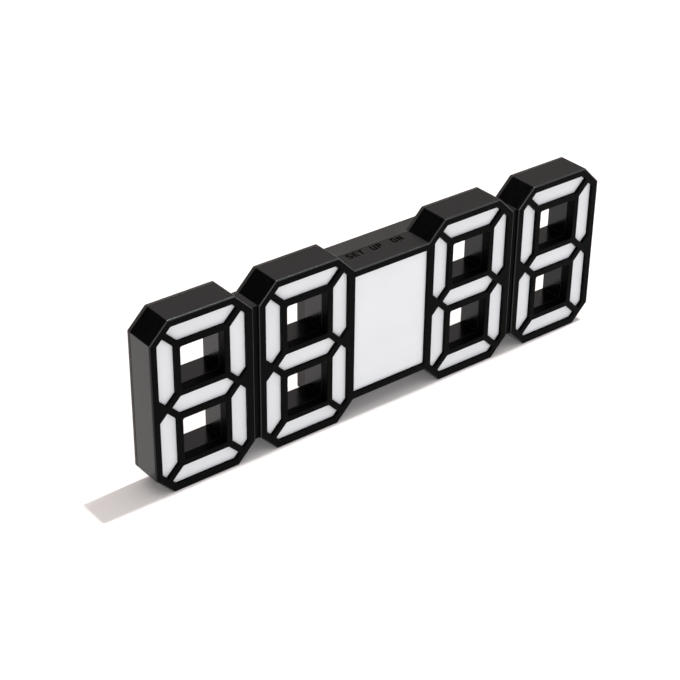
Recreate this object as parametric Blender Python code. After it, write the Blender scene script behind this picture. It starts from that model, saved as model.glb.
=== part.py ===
"""Digital clock with four free-standing figure-eight digits and a lit centre panel.

Metres, +Z up. The front faces -Y. The origin lies under the middle of the
clock, on the surface that it stands on. Every piece hangs on the empty
clock_frame, whose own origin is the middle of the front face: x to the right,
y from the front face to the back, z up from mid height.
"""

import math

import bmesh
import bpy
from mathutils import Matrix, Vector

# Outline of the case
digit_width = 0.0540
digit_height = 0.0888
corner_cut = 0.0095
digit_gap = 0.0030
block_width = 0.0442

# Front case
case_depth = 0.0152
case_wall = 0.0020
front_wall = 0.0022
front_round = 0.0006
groove_depth = 0.0010
fit_gap = 0.0003

# Segments and the square windows between them
rim_width = 0.0037
stroke_side = 0.0089
stroke_top = 0.0085
stroke_middle = 0.0092
window_bar = 0.0030
mitre_gap = 0.0030
waist_notch = 0.00565
window_lip = 0.0004
window_flare = 0.0010
sleeve_wall = 0.0012
sleeve_depth = 0.0024

# Centre panel
panel_rim = 0.0036
panel_side_rim = 0.0002
panel_lap = 0.0012
panel_recess = 0.0013
panel_cells_across = 2
panel_cells_up = 3

# Lenses, light frames and display board
lens_recess = 0.0016
lens_plate = 0.0010
light_depth = 0.0050
cell_wall = 0.0014
board_thickness = 0.0016
led_width = 0.0028
led_length = 0.0035
led_height = 0.0009
led_spacing = 0.0120

# Rear cover and the box on its back
cover_plate = 0.0020
cover_round = 0.0004
lip_width = 0.0012
lip_depth = 0.0015
box_width = 0.0724
box_depth = 0.0083
box_wall = 0.0018
box_round = 0.0010
post_radius = 0.0015
post_drop = 0.0169

# Case screws and their bosses
screw_inset = 0.0040
screw_radius = 0.0011
screw_length = 0.0086
screw_head_radius = 0.0022
screw_head_height = 0.0014
screw_head_round = 0.0004
screw_play = 0.00025
boss_radius = 0.0022
boss_play = 0.0004
boss_end_gap = 0.0003
seat_depth = 0.0019
seat_floor = 0.0014
seat_wall = 0.0010
pilot_spare = 0.0010

# Control board
control_width = 0.0550
control_edge_gap = 0.0021
control_front_gap = 0.0019
control_post_x = 0.0210
control_post_drop = 0.0209
control_post_radius = 0.0024
control_screw_radius = 0.0010
control_screw_length = 0.0046
control_head_radius = 0.0019
control_head_height = 0.0012
well_clearance = 0.0004
link_width = 0.0200
link_thickness = 0.0050
link_drop = 0.0040

# Buttons and their switches
button_width = 0.0090
button_height = 0.0055
button_spacing = 0.0125
button_drop = 0.0099
button_proud = 0.0010
button_round = 0.0004
button_travel = 0.0005
button_flange = 0.0012
flange_thickness = 0.0008
switch_width = 0.0060
switch_depth = 0.0024
stem_radius = 0.0017
stem_play = 0.0003
stem_overlap = 0.0006

# Coin cell, its holder and the twist-off door
cell_radius = 0.0100
cell_thickness = 0.0032
cell_edge_round = 0.0004
cell_level = -0.0020
holder_wall = 0.0013
holder_floor = 0.0006
holder_height = 0.0027
door_ledge = 0.0015
door_flange = 0.0006
door_skirt = 0.0007
skirt_height = 0.0010
lug_reach = 0.0011
lug_height = 0.0010
lug_angle = math.radians(26)
notch_angle = math.radians(34)
lug_count = 3
door_turn = math.radians(45)
coin_slot_length = 0.0140
coin_slot_width = 0.0018
coin_slot_depth = 0.0009

# Power socket and sounder
socket_width = 0.00894
socket_height = 0.00316
socket_length = 0.0073
socket_shell = 0.0003
socket_tongue = 0.0007
socket_tongue_width = 0.0067
socket_tongue_length = 0.0052
socket_rise = 0.0094
socket_set_back = 0.0006
tab_margin = 0.0008
sounder_radius = 0.0060
sounder_height = 0.0042
sounder_port = 0.0010
sounder_port_depth = 0.0020
sounder_x = -0.0140
sounder_rise = 0.0119
vent_width = 0.0012
vent_length = 0.0090
vent_pitch = 0.0024
vent_count = 4

# One length that every cut runs past its faces, and the sink of a joined piece
overrun = 0.0010
sink = 0.0002

# Facets of round shapes
fine_sides = 36
small_sides = 12
end_steps = 4
round_steps = 2
sharp_angle = math.radians(35)

# Colours, roughness and metal of the materials
palette = {
    "case_black": ((0.022, 0.022, 0.023), 0.42, 0.0),
    "lens_white": ((0.86, 0.87, 0.88), 0.35, 0.0),
    "frame_white": ((0.75, 0.75, 0.74), 0.55, 0.0),
    "board_green": ((0.020, 0.110, 0.055), 0.45, 0.0),
    "part_black": ((0.030, 0.030, 0.031), 0.50, 0.0),
    "switch_beige": ((0.42, 0.40, 0.34), 0.50, 0.0),
    "steel": ((0.62, 0.62, 0.63), 0.28, 1.0),
    "screw_zinc": ((0.48, 0.48, 0.50), 0.35, 1.0),
}

# Levels worked out from the sizes, y from the front face
half_width = digit_width / 2
half_height = digit_height / 2
shoulder = half_height - corner_cut
outer_x = half_width - rim_width
inner_x = outer_x - stroke_side
top_z = half_height - rim_width
under_z = top_z - stroke_top
middle_z = stroke_middle / 2
window_x = inner_x - window_bar
window_top = under_z - window_bar
window_bottom = middle_z + window_bar
block_half = block_width / 2
digit_near = block_half + half_width
digit_far = digit_near + digit_width + digit_gap
digit_centres = (-digit_far, -digit_near, digit_near, digit_far)
lens_front = front_wall + fit_gap
lens_back = lens_front + lens_plate
light_front = lens_back + fit_gap
light_back = light_front + light_depth
display_front = light_back + fit_gap
display_back = display_front + board_thickness
sleeve_end = front_wall + sleeve_depth
cover_front = case_depth + fit_gap
cover_back = cover_front + cover_plate
box_back = cover_back + box_depth
box_inner = box_back - box_wall
box_half = box_width / 2
seat_level = cover_back - seat_depth
seat_front = seat_level - seat_floor
boss_back = seat_front - boss_end_gap
boss_x = half_width - screw_inset
seat_radius = screw_head_radius + boss_play
control_front = cover_front + control_front_gap
control_back = control_front + board_thickness
part_front = control_back + fit_gap
button_back = box_back + button_proud
overall_depth = button_back
well_radius = seat_radius + seat_wall

# Levels in the rear box, each from the box's top or bottom
post_level = shoulder - post_drop
control_top = shoulder - box_wall - control_edge_gap
control_post_level = shoulder - control_post_drop
link_level = control_top - link_drop
button_level = shoulder - button_drop
socket_level = socket_rise - shoulder
sounder_level = sounder_rise - shoulder


def inset(outline, distance):
    """Move each side of a counter-clockwise outline inwards by a distance."""
    moved = []
    for index, point in enumerate(outline):
        before = (point - outline[index - 1]).normalized()
        after = (outline[(index + 1) % len(outline)] - point).normalized()
        normal_a = Vector((-before.y, before.x))
        normal_b = Vector((-after.y, after.x))
        moved.append(point + (normal_a + normal_b) * distance / (1 + normal_a.dot(normal_b)))
    return moved


def rectangle(x_low, x_high, z_low, z_high):
    """Counter-clockwise rectangle, seen from the front."""
    return [Vector(p) for p in ((x_low, z_low), (x_high, z_low), (x_high, z_high), (x_low, z_high))]


def circle(x, z, radius, sides):
    """Counter-clockwise circle, seen from the front."""
    turns = [2 * math.pi * step / sides for step in range(sides)]
    return [Vector((x + radius * math.cos(turn), z + radius * math.sin(turn))) for turn in turns]


def stadium(width, height):
    """Slot outline with round ends, about its own middle."""
    radius = height / 2
    straight = width / 2 - radius
    points = []
    for side, start in ((1, -math.pi / 2), (-1, math.pi / 2)):
        for step in range(end_steps + 1):
            turn = start + math.pi * step / end_steps
            points.append(Vector((side * straight + radius * math.cos(turn), radius * math.sin(turn))))
    return points


def shifted(outline, x, z):
    """The same outline moved by x and z."""
    return [point + Vector((x, z)) for point in outline]


def mirrored(outline, flip_x, flip_z):
    """Mirror an outline and keep it counter-clockwise."""
    signs = Vector((-1 if flip_x else 1, -1 if flip_z else 1))
    points = [point * signs for point in outline]
    return points[::-1] if flip_x != flip_z else points


def add_prism(mesh, outline, stations):
    """Add a closed body: the outline at each (y, inset) station, capped at both ends."""
    rings = []
    for y, distance in stations:
        points = inset(outline, distance) if distance else outline
        rings.append([mesh.verts.new((point.x, y, point.y)) for point in points])
    count = len(outline)
    for front, back in zip(rings, rings[1:]):
        for index in range(count):
            following = (index + 1) % count
            mesh.faces.new((front[index], back[index], back[following], front[following]))
    mesh.faces.new(rings[0])
    mesh.faces.new(rings[-1][::-1])


def add_slab(mesh, outline, front, back):
    """Add a plain prism between two depths."""
    add_prism(mesh, outline, [(front, 0), (back, 0)])


def add_turned(mesh, profile, sides, x=0, z=0):
    """Add a body turned about a line along y: profile points are (radius, y), first and last on it."""
    start = mesh.verts.new((x, profile[0][1], z))
    end = mesh.verts.new((x, profile[-1][1], z))
    rings = []
    for radius, y in profile[1:-1]:
        rings.append([mesh.verts.new((point.x, y, point.y)) for point in circle(x, z, radius, sides)])
    for index in range(sides):
        following = (index + 1) % sides
        mesh.faces.new((start, rings[0][index], rings[0][following]))
        mesh.faces.new((end, rings[-1][following], rings[-1][index]))
        for near, far in zip(rings, rings[1:]):
            mesh.faces.new((near[index], far[index], far[following], near[following]))


def rounded_stations(front, back, radius):
    """Stations of a prism whose back edge is rounded."""
    stations = [(front, 0)]
    for step in range(round_steps + 1):
        turn = math.pi / 2 * step / round_steps
        stations.append((back - radius * (1 - math.sin(turn)), radius * (1 - math.cos(turn))))
    return stations


def material(name):
    """A Principled material from the palette, made once."""
    found = bpy.data.materials.get(name)
    if found:
        return found
    colour, roughness, metallic = palette[name]
    made = bpy.data.materials.new(name)
    made.use_nodes = True
    shader = made.node_tree.nodes["Principled BSDF"]
    shader.inputs["Base Color"].default_value = (*colour, 1)
    shader.inputs["Roughness"].default_value = roughness
    shader.inputs["Metallic"].default_value = metallic
    made.diffuse_color = (*colour, 1)
    return made


def make_object(name, mesh, finish=None, place=(0, 0, 0)):
    """Turn a bmesh into an object under clock_frame."""
    bmesh.ops.recalc_face_normals(mesh, faces=mesh.faces)
    data = bpy.data.meshes.new(name)
    mesh.to_mesh(data)
    mesh.free()
    data.set_sharp_from_angle(angle=sharp_angle)
    piece = bpy.data.objects.new(name, data)
    bpy.context.scene.collection.objects.link(piece)
    piece.parent = clock_frame
    piece.location = place
    if finish:
        data.materials.append(material(finish))
    return piece


def make_helper(name, mesh, place=(0, 0, 0)):
    """A hidden object that only shapes other pieces."""
    helper = make_object(name, mesh, place=place)
    helper.hide_render = True
    helper.display_type = "WIRE"
    return helper


def apply_helper(piece, helper, operation, label):
    """Join a helper to a piece, cut it away or keep only what they share."""
    change = piece.modifiers.new(label, "BOOLEAN")
    change.operation = operation
    change.object = helper


def combine(piece, mesh, operation, label):
    """Join bodies to a piece or cut them from it, with a hidden helper of their own."""
    helper = make_helper(f"{piece.name}_{label}", mesh, piece.location)
    apply_helper(piece, helper, operation, label)


def octagon(centre):
    """Outline of one digit."""
    lower = [
        (-half_width, -shoulder), (corner_cut - half_width, -half_height),
        (half_width - corner_cut, -half_height), (half_width, -shoulder),
    ]
    upper = [(-x, -z) for x, z in lower]
    return [Vector((centre + x, z)) for x, z in lower + upper]


def case_outline():
    """Outline of the whole case: four octagons joined at shoulder height."""
    lower = []
    for centre in digit_centres:
        lower += octagon(centre)[:4]
    upper = [Vector((point.x, -point.y)) for point in reversed(lower)]
    return lower + upper


def segments():
    """The seven segment outlines of a digit, about its centre."""
    slant = mitre_gap / math.sqrt(2)
    corner = half_width + half_height - corner_cut - rim_width * math.sqrt(2)
    top_mitre = window_top - window_x
    waist_mitre = window_x + window_bottom
    notch = outer_x - waist_notch
    line_a = top_mitre + slant
    line_b = top_mitre - slant
    line_w = waist_mitre + slant
    half_top = [
        (under_z - line_a, under_z), ((corner - line_a) / 2, (corner + line_a) / 2), (corner - top_z, top_z),
    ]
    top = half_top + [(-x, z) for x, z in reversed(half_top)]
    side = [
        (inner_x, line_w - inner_x), ((line_w + notch) / 2, (line_w - notch) / 2),
        (outer_x, outer_x - notch), (outer_x, corner - outer_x),
        ((corner - line_b) / 2, (corner + line_b) / 2), (inner_x, inner_x + line_b),
    ]
    tip = waist_mitre - slant
    middle = [(-tip, 0), (middle_z - tip, -middle_z), (tip - middle_z, -middle_z)]
    middle += [(-x, -z) for x, z in middle]
    top, side, middle = ([Vector(point) for point in outline] for outline in (top, side, middle))
    return {
        "a": top, "b": side, "c": mirrored(side, False, True), "d": mirrored(top, False, True),
        "e": mirrored(side, True, True), "f": mirrored(side, True, False), "g": middle,
    }


def windows(centre, growth):
    """The two square openings of a digit, grown by a distance on each side."""
    upper = rectangle(centre - window_x - growth, centre + window_x + growth,
                      window_bottom - growth, window_top + growth)
    return upper, mirrored(upper, False, True)


def boss_places():
    """Where the case screws stand, at mid height on both sides of each digit."""
    return [centre + side * boss_x for centre in digit_centres for side in (-1, 1)]


def panel_outline():
    """Opening of the centre panel."""
    x = block_half - panel_side_rim
    z = shoulder - panel_rim
    return rectangle(-x, x, -z, z)


def panel_plate():
    """Outline of the plates behind the centre panel."""
    x = block_half + panel_lap
    z = shoulder - case_wall - fit_gap
    return rectangle(-x, x, -z, z)


def in_box(x):
    """Whether a place along the clock is over the box's hollow."""
    return abs(x) < box_half


def build_front_case():
    """Black moulded front: a shell with windows, sleeves and screw bosses."""
    outline = case_outline()
    body = bmesh.new()
    stations = [(-y, distance) for y, distance in rounded_stations(-case_depth, 0, front_round)]
    add_prism(body, outline, stations[::-1])
    case = make_object("front_case", body, "case_black")

    hollow = bmesh.new()
    add_slab(hollow, inset(outline, case_wall), front_wall, case_depth + overrun)
    combine(case, hollow, "DIFFERENCE", "hollow")

    inside = bmesh.new()
    for centre in digit_centres:
        for outline_w in windows(centre, sleeve_wall):
            add_slab(inside, outline_w, front_wall - sink, sleeve_end)
    for x in boss_places():
        add_slab(inside, circle(x, 0, boss_radius, small_sides), front_wall - sink, boss_back)
    combine(case, inside, "UNION", "inside")

    openings = bmesh.new()
    for centre in digit_centres:
        for outline_s in segments().values():
            add_slab(openings, shifted(outline_s, centre, 0), -overrun, front_wall + overrun)
        for outline_w in windows(centre, 0):
            flare = [(-overrun, -window_lip - overrun), (window_lip, 0), (sleeve_end + overrun, 0)]
            add_prism(openings, outline_w, flare)
    add_slab(openings, panel_outline(), -overrun, front_wall + overrun)
    for x in boss_places():
        pilot = circle(x, 0, screw_radius + screw_play, small_sides)
        add_slab(openings, pilot, seat_level - screw_length - pilot_spare, boss_back + overrun)
    combine(case, openings, "DIFFERENCE", "openings")

    grooves = bmesh.new()
    for side in (-1, 1):
        middle = side * (digit_near + digit_far) / 2
        strip = rectangle(middle - digit_gap / 2, middle + digit_gap / 2, -half_height, half_height)
        add_slab(grooves, strip, -overrun, groove_depth)
    combine(case, grooves, "DIFFERENCE", "grooves")


def digit_plate(mesh, centre, front, back):
    """Octagonal plate that drops into the case behind one digit."""
    add_slab(mesh, inset(octagon(centre), case_wall + fit_gap), front, back)


def clear_bosses_and_sleeves(mesh, centre, front, back):
    """Cutters for the sleeves and screw bosses that pass through a plate."""
    for outline in windows(centre, sleeve_wall + fit_gap):
        add_slab(mesh, outline, front - overrun, back + overrun)
    for side in (-1, 1):
        hole = circle(centre + side * boss_x, 0, boss_radius + boss_play, small_sides)
        add_slab(mesh, hole, front - overrun, back + overrun)


def build_digit_lens(number, centre):
    """White diffuser: one plate with seven raised segments."""
    plate = bmesh.new()
    digit_plate(plate, centre, lens_front, lens_back)
    lens = make_object(f"digit_lens_{number}", plate, "lens_white")
    pads = bmesh.new()
    for outline in segments().values():
        add_slab(pads, shifted(inset(outline, fit_gap), centre, 0), lens_recess, lens_front + sink)
    combine(lens, pads, "UNION", "pads")
    holes = bmesh.new()
    clear_bosses_and_sleeves(holes, centre, lens_front, lens_back)
    combine(lens, holes, "DIFFERENCE", "holes")


def build_light_frame(number, centre):
    """Opaque frame whose cells keep each segment's light apart."""
    block = bmesh.new()
    digit_plate(block, centre, light_front, light_back)
    frame = make_object(f"light_frame_{number}", block, "frame_white")
    cells = bmesh.new()
    for outline in segments().values():
        add_slab(cells, shifted(outline, centre, 0), light_front - overrun, light_back + overrun)
    clear_bosses_and_sleeves(cells, centre, light_front, light_back)
    combine(frame, cells, "DIFFERENCE", "cells")


def panel_cells():
    """Cells of the centre panel's light frame, row by row."""
    plate = panel_plate()
    width = (plate[1].x - plate[0].x - cell_wall) / panel_cells_across
    height = (plate[2].y - plate[1].y - cell_wall) / panel_cells_up
    for column in range(panel_cells_across):
        for row in range(panel_cells_up):
            x = plate[0].x + cell_wall + column * width
            z = plate[0].y + cell_wall + row * height
            yield rectangle(x, x + width - cell_wall, z, z + height - cell_wall)


def build_panel():
    """Centre panel: a white diffuser and the light frame behind it."""
    plate = bmesh.new()
    add_slab(plate, panel_plate(), lens_front, lens_back)
    lens = make_object("panel_lens", plate, "lens_white")
    pad = bmesh.new()
    add_slab(pad, inset(panel_outline(), fit_gap), panel_recess, lens_front + sink)
    combine(lens, pad, "UNION", "pad")
    block = bmesh.new()
    add_slab(block, panel_plate(), light_front, light_back)
    frame = make_object("panel_light_frame", block, "frame_white")
    cells = bmesh.new()
    for outline in panel_cells():
        add_slab(cells, outline, light_front - overrun, light_back + overrun)
    combine(frame, cells, "DIFFERENCE", "cells")


def led_places():
    """Centre of each light-emitting diode, with its long side up or across."""
    side_x = inner_x + stroke_side / 2
    top_level = under_z + stroke_top / 2
    window_middle = (window_top + window_bottom) / 2
    for centre in digit_centres:
        for step in (-0.5, 0.5):
            for level in (-top_level, 0, top_level):
                yield centre + step * led_spacing, level, True
            for side in (-1, 1):
                for half in (-1, 1):
                    yield centre + side * side_x, half * window_middle + step * led_spacing, False
    for cell in panel_cells():
        middle = (cell[0] + cell[2]) / 2
        yield middle.x, middle.y, True


def build_display_board():
    """One board behind all digits, with its diodes soldered on."""
    board = bmesh.new()
    add_slab(board, inset(case_outline(), case_wall + fit_gap), display_front, display_back)
    display = make_object("display_board", board, "board_green")
    diodes = bmesh.new()
    for x, z, across in led_places():
        half_x, half_z = (led_length / 2, led_width / 2) if across else (led_width / 2, led_length / 2)
        outline = rectangle(x - half_x, x + half_x, z - half_z, z + half_z)
        add_slab(diodes, outline, display_front - led_height, display_front + sink)
    combine(display, diodes, "UNION", "diodes")
    holes = bmesh.new()
    for centre in digit_centres:
        clear_bosses_and_sleeves(holes, centre, display_front, display_back)
    combine(display, holes, "DIFFERENCE", "holes")


def build_rear_cover():
    """Rear cover: a plate with window tubes, and the deep box behind the centre."""
    outline = case_outline()
    plate = bmesh.new()
    add_prism(plate, outline, rounded_stations(cover_front, cover_back, cover_round))
    cover = make_object("rear_cover", plate, "case_black")

    box = bmesh.new()
    box_outline = rectangle(-box_half, box_half, -shoulder, shoulder)
    add_prism(box, box_outline, rounded_stations(cover_front, box_back, box_round))
    combine(cover, box, "UNION", "box")

    hollow = bmesh.new()
    add_slab(hollow, inset(box_outline, box_wall), cover_front - overrun, box_inner)
    combine(cover, hollow, "DIFFERENCE", "hollow")

    lips = bmesh.new()
    lip_outline = inset(outline, case_wall + fit_gap)
    add_slab(lips, lip_outline, cover_front - lip_depth, cover_front + sink)
    lip = make_helper("rear_cover_lip", lips)
    inner = bmesh.new()
    add_slab(inner, inset(lip_outline, lip_width), cover_front - lip_depth - overrun, cover_front + overrun)
    combine(lip, inner, "DIFFERENCE", "inner")
    middle = bmesh.new()
    span = rectangle(-box_half, box_half, -digit_height, digit_height)
    add_slab(middle, span, cover_front - lip_depth - overrun, cover_front + overrun)
    combine(lip, middle, "DIFFERENCE", "middle")
    apply_helper(cover, lip, "UNION", "lip")

    seats = bmesh.new()
    for x in boss_places():
        back = box_inner + sink if in_box(x) else cover_front + sink
        add_slab(seats, circle(x, 0, well_radius, small_sides), seat_front, back)
    seat = make_helper("rear_cover_seats", seats)
    keep = bmesh.new()
    add_slab(keep, lip_outline, seat_front - overrun, box_inner + overrun)
    combine(seat, keep, "INTERSECT", "keep")
    apply_helper(cover, seat, "UNION", "seats")

    inside = bmesh.new()
    side_x = inner_x + stroke_side / 2
    for centre in digit_centres:
        for outline_w in windows(centre, sleeve_wall):
            add_slab(inside, outline_w, sleeve_end + fit_gap, cover_front + sink)
        for side in (-1, 1):
            x = centre + side * side_x
            back = box_inner + sink if in_box(x) else cover_front + sink
            for level in (-post_level, post_level):
                add_slab(inside, circle(x, level, post_radius, small_sides), display_back + fit_gap, back)
    for x in (-control_post_x, control_post_x):
        for level in (-control_post_level, control_post_level):
            post = circle(x, level, control_post_radius, small_sides)
            add_slab(inside, post, part_front, box_inner + sink)
    combine(cover, inside, "UNION", "inside")

    openings = bmesh.new()
    for centre in digit_centres:
        for outline_w in windows(centre, 0):
            flare = [(sleeve_end - overrun, 0), (cover_back - window_flare, 0),
                     (cover_back + overrun, -window_flare - overrun)]
            add_prism(openings, outline_w, flare)
    for x in boss_places():
        back = box_back if in_box(x) else cover_back
        hole = screw_radius + screw_play
        pocket = [(0, seat_front - overrun), (hole, seat_front - overrun), (hole, seat_level),
                  (seat_radius, seat_level), (seat_radius, back + overrun), (0, back + overrun)]
        add_turned(openings, pocket, small_sides, x)
    for x in (-control_post_x, control_post_x):
        for level in (-control_post_level, control_post_level):
            pilot = circle(x, level, control_screw_radius + screw_play, small_sides)
            depth = control_screw_length - board_thickness + pilot_spare
            add_slab(openings, pilot, part_front - overrun, part_front + depth)
    for step in (-1, 0, 1):
        hole = inset(stadium(button_width, button_height), -fit_gap)
        placed = shifted(hole, step * button_spacing, button_level)
        add_slab(openings, placed, box_inner - overrun, box_back + overrun)
    for index in range(vent_count):
        x = sounder_x + (index - (vent_count - 1) / 2) * vent_pitch
        slot = rectangle(x - vent_width / 2, x + vent_width / 2,
                         sounder_level - vent_length / 2, sounder_level + vent_length / 2)
        add_slab(openings, slot, box_inner - overrun, box_back + overrun)
    combine(cover, openings, "DIFFERENCE", "openings")

    door_seat = bmesh.new()
    add_slab(door_seat, circle(0, cell_level, door_radius() + door_ledge + fit_gap, fine_sides),
             box_back - door_flange - fit_gap, box_back + overrun)
    combine(cover, door_seat, "DIFFERENCE", "door_seat")
    door_hole = bmesh.new()
    add_slab(door_hole, shifted(notched_circle(), 0, cell_level), box_inner - overrun, box_back)
    combine(cover, door_hole, "DIFFERENCE", "door_hole")

    socket_hole = bmesh.new()
    add_prism(socket_hole, inset(stadium(socket_width, socket_height), -fit_gap),
              [(box_half - box_wall - overrun, 0), (box_half + overrun, 0)])
    turn_to_side(socket_hole)
    combine(cover, socket_hole, "DIFFERENCE", "socket_hole")


def door_radius():
    """Radius of the door's plug, which clears the cell and its skirt."""
    return cell_radius + fit_gap + door_skirt


def notched_circle():
    """Door hole with the notches that let the lugs through."""
    hole = door_radius() + fit_gap
    reach = door_radius() + lug_reach + fit_gap
    points = []
    for lug in range(lug_count):
        middle = 2 * math.pi * lug / lug_count - door_turn
        low = middle - notch_angle / 2
        high = middle + notch_angle / 2
        following = low + 2 * math.pi / lug_count
        for radius, start, end in ((reach, low, high), (hole, high, following)):
            for step in range(end_steps + 1):
                turn = start + (end - start) * step / end_steps
                points.append(Vector((radius * math.cos(turn), radius * math.sin(turn))))
    return points


def turn_to_side(mesh):
    """Lay a prism made along y so that it runs along x at the power socket's place."""
    middle_y = part_front + socket_height / 2
    quarter = Matrix(((0, 1, 0), (0, 0, 1), (1, 0, 0)))
    bmesh.ops.transform(mesh, matrix=quarter.to_4x4(), verts=mesh.verts)
    bmesh.ops.translate(mesh, vec=(0, middle_y, socket_level), verts=mesh.verts)


def build_case_screws():
    """Pan-head screws that hold the rear cover to the front case."""
    for number, x in enumerate(boss_places(), 1):
        screw = bmesh.new()
        under = fit_gap
        top = under + screw_head_height
        profile = [(0, -screw_length), (screw_radius / 2, -screw_length),
                   (screw_radius, screw_radius / 2 - screw_length), (screw_radius, under),
                   (screw_head_radius, under), (screw_head_radius, top - screw_head_round),
                   (screw_head_radius - screw_head_round, top), (0, top)]
        add_turned(screw, profile, small_sides)
        make_object(f"case_screw_{number}", screw, "screw_zinc", (x, seat_level, 0))


def control_outline():
    """Control board with a tab that carries the power socket."""
    half_x = control_width / 2
    tab_x = box_half - box_wall - fit_gap - tab_margin
    tab_low = socket_level - socket_width / 2 - tab_margin
    tab_high = socket_level + socket_width / 2 + tab_margin
    points = [
        (-half_x, -control_top), (half_x, -control_top), (half_x, tab_low), (tab_x, tab_low),
        (tab_x, tab_high), (half_x, tab_high), (half_x, control_top), (-half_x, control_top),
    ]
    return [Vector(point) for point in points]


def build_control_board():
    """Control board in the rear box, its four screws and the link to the display."""
    plate = bmesh.new()
    add_slab(plate, control_outline(), control_front, control_back)
    board = make_object("control_board", plate, "board_green")
    holes = bmesh.new()
    for x in boss_places():
        if in_box(x):
            well = circle(x, 0, well_radius + well_clearance, small_sides)
            add_slab(holes, well, control_front - overrun, control_back + overrun)
    for x in (-control_post_x, control_post_x):
        for level in (-control_post_level, control_post_level):
            hole = circle(x, level, control_screw_radius + screw_play, small_sides)
            add_slab(holes, hole, control_front - overrun, control_back + overrun)
    combine(board, holes, "DIFFERENCE", "holes")

    number = 0
    for x in (-control_post_x, control_post_x):
        for level in (-control_post_level, control_post_level):
            number += 1
            screw = bmesh.new()
            head = -fit_gap - control_head_height
            profile = [(0, head), (control_head_radius - screw_head_round, head),
                       (control_head_radius, head + screw_head_round), (control_head_radius, -fit_gap),
                       (control_screw_radius, -fit_gap), (control_screw_radius, control_screw_length),
                       (0, control_screw_length)]
            add_turned(screw, profile, small_sides)
            make_object(f"board_screw_{number}", screw, "screw_zinc", (x, control_front, level))

    link = bmesh.new()
    outline = rectangle(-link_width / 2, link_width / 2,
                        link_level - link_thickness / 2, link_level + link_thickness / 2)
    add_slab(link, outline, display_back + fit_gap, control_front - fit_gap)
    make_object("board_link", link, "part_black")


def build_buttons():
    """Three push buttons, each over its own switch with a moving stem."""
    names = ("set", "up", "down")
    switch_back = part_front + switch_depth
    flange_front = box_inner - fit_gap - flange_thickness
    stem_front = switch_back - stem_overlap
    for name, step in zip(names, (-1, 0, 1)):
        x = step * button_spacing
        place = (x, box_back, button_level)
        cap = bmesh.new()
        outline = stadium(button_width, button_height)
        add_prism(cap, outline, rounded_stations(flange_front - box_back + sink, button_proud, button_round))
        button = make_object(f"{name}_button", cap, "part_black", place)
        flange = bmesh.new()
        add_slab(flange, inset(outline, -button_flange), flange_front - box_back, -box_wall - fit_gap)
        combine(button, flange, "UNION", "flange")

        stem = bmesh.new()
        add_slab(stem, circle(0, 0, stem_radius, small_sides),
                 stem_front - box_back, flange_front - fit_gap - box_back)
        make_object(f"{name}_switch_stem", stem, "part_black", place)

        half = switch_width / 2
        body = bmesh.new()
        add_slab(body, rectangle(-half, half, -half, half), part_front, switch_back)
        switch = make_object(f"{name}_switch", body, "switch_beige", (x, 0, button_level))
        bore = bmesh.new()
        add_slab(bore, circle(0, 0, stem_radius + stem_play, small_sides),
                 stem_front - button_travel - fit_gap, switch_back + overrun)
        combine(switch, bore, "DIFFERENCE", "bore")


def build_battery():
    """Coin cell, its holder and the door that twists off the rear box."""
    place = (0, 0, cell_level)
    floor = part_front + holder_floor
    holder_in = cell_radius + fit_gap
    holder_out = holder_in + holder_wall
    cup = bmesh.new()
    profile = [(0, part_front), (holder_out, part_front), (holder_out, part_front + holder_height),
               (holder_in, part_front + holder_height), (holder_in, floor), (0, floor)]
    add_turned(cup, profile, fine_sides)
    make_object("cell_holder", cup, "part_black", place)

    cell_front = floor + fit_gap
    cell_back = cell_front + cell_thickness
    cell = bmesh.new()
    rim = cell_radius - cell_edge_round
    profile = [(0, cell_front), (rim, cell_front), (cell_radius, cell_front + cell_edge_round),
               (cell_radius, cell_back - cell_edge_round), (rim, cell_back), (0, cell_back)]
    add_turned(cell, profile, fine_sides)
    make_object("coin_cell", cell, "steel", place)

    disc_front = cell_back + fit_gap - box_back
    skirt_front = disc_front - skirt_height
    plug = door_radius()
    skirt_in = plug - door_skirt
    flange = plug + door_ledge
    body = bmesh.new()
    profile = [(0, disc_front), (skirt_in, disc_front), (skirt_in, skirt_front), (plug, skirt_front),
               (plug, -door_flange), (flange, -door_flange), (flange, 0), (0, 0)]
    add_turned(body, profile, fine_sides)
    door = make_object("battery_door", body, "part_black", (0, box_back, cell_level))
    lugs = bmesh.new()
    for lug in range(lug_count):
        middle = 2 * math.pi * lug / lug_count
        points = []
        for radius, start, end in ((plug + lug_reach, -1, 1), (plug - door_skirt / 2, 1, -1)):
            for step in range(end_steps + 1):
                turn = middle + lug_angle / 2 * (start + (end - start) * step / end_steps)
                points.append(Vector((radius * math.cos(turn), radius * math.sin(turn))))
        add_slab(lugs, points, skirt_front, skirt_front + lug_height)
    combine(door, lugs, "UNION", "lugs")
    slot = bmesh.new()
    add_slab(slot, stadium(coin_slot_length, coin_slot_width), -coin_slot_depth, overrun)
    combine(door, slot, "DIFFERENCE", "slot")


def build_socket():
    """Power socket: a drawn metal shell round a contact tongue, facing the side."""
    mouth = box_half - socket_set_back
    back = mouth - socket_length
    shell = bmesh.new()
    outline = stadium(socket_width, socket_height)
    add_slab(shell, outline, back, mouth)
    turn_to_side(shell)
    socket = make_object("power_socket", shell, "steel")
    inside = bmesh.new()
    add_slab(inside, inset(outline, socket_shell), mouth - socket_tongue_length - sink, mouth + overrun)
    turn_to_side(inside)
    combine(socket, inside, "DIFFERENCE", "inside")
    tongue = bmesh.new()
    half_z = socket_tongue_width / 2
    half_y = socket_tongue / 2
    add_slab(tongue, rectangle(-half_z, half_z, -half_y, half_y),
             mouth - socket_tongue_length - overrun, mouth - socket_set_back)
    turn_to_side(tongue)
    combine(socket, tongue, "UNION", "tongue")


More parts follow.
